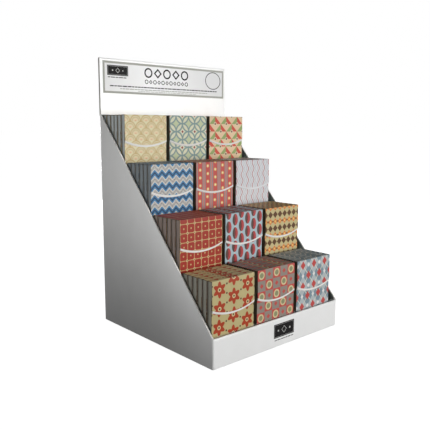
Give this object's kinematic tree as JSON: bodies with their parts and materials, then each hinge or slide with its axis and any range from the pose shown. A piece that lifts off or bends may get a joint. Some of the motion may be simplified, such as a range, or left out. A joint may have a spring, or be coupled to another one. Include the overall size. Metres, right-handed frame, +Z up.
{
  "type": "stepped counter display box",
  "caption": "Folded-board counter display box with sloping sides, a rolled front lip, a tall header and a stepped insert, stocked with stacks of pocket notepads in flap-over card covers.",
  "frame": {"origin": "centre of the base, on the surface that the box stands on", "axes": "+Z up, -Y towards the customer (the open, low front), +X to the right seen from the front"},
  "size_m": [0.261, 0.2682, 0.419],
  "materials": {
    "white_board": "satin white liner",
    "dark_board": "matt dark liner",
    "leaves": "cut paper edges",
    "card_tier_1_left": "printed satin card",
    "card_tier_1_centre": "printed satin card",
    "card_tier_1_right": "printed satin card",
    "card_tier_2_left": "printed satin card",
    "card_tier_2_centre": "printed satin card",
    "card_tier_2_right": "printed satin card",
    "card_tier_3_left": "printed satin card",
    "card_tier_3_centre": "printed satin card",
    "card_tier_3_right": "printed satin card",
    "card_tier_4_left": "printed satin card",
    "card_tier_4_centre": "printed satin card",
    "card_tier_4_right": "printed satin card"
  },
  "bodies": {
    "root": {"outer_tray": "white_board", "stepped_insert": "dark_board", "covers_tier_1_left": "card_tier_1_left", "leaves_tier_1_left": "leaves", "covers_tier_1_centre": "card_tier_1_centre", "leaves_tier_1_centre": "leaves", "covers_tier_1_right": "card_tier_1_right", "leaves_tier_1_right": "leaves", "covers_tier_2_left": "card_tier_2_left", "leaves_tier_2_left": "leaves", "covers_tier_2_centre": "card_tier_2_centre", "leaves_tier_2_centre": "leaves", "covers_tier_2_right": "card_tier_2_right", "leaves_tier_2_right": "leaves", "covers_tier_3_left": "card_tier_3_left", "leaves_tier_3_left": "leaves", "covers_tier_3_centre": "card_tier_3_centre", "leaves_tier_3_centre": "leaves", "covers_tier_3_right": "card_tier_3_right", "leaves_tier_3_right": "leaves", "covers_tier_4_left": "card_tier_4_left", "leaves_tier_4_left": "leaves", "covers_tier_4_centre": "card_tier_4_centre", "leaves_tier_4_centre": "leaves", "covers_tier_4_right": "card_tier_4_right", "leaves_tier_4_right": "leaves"}
  },
  "joints": []
}
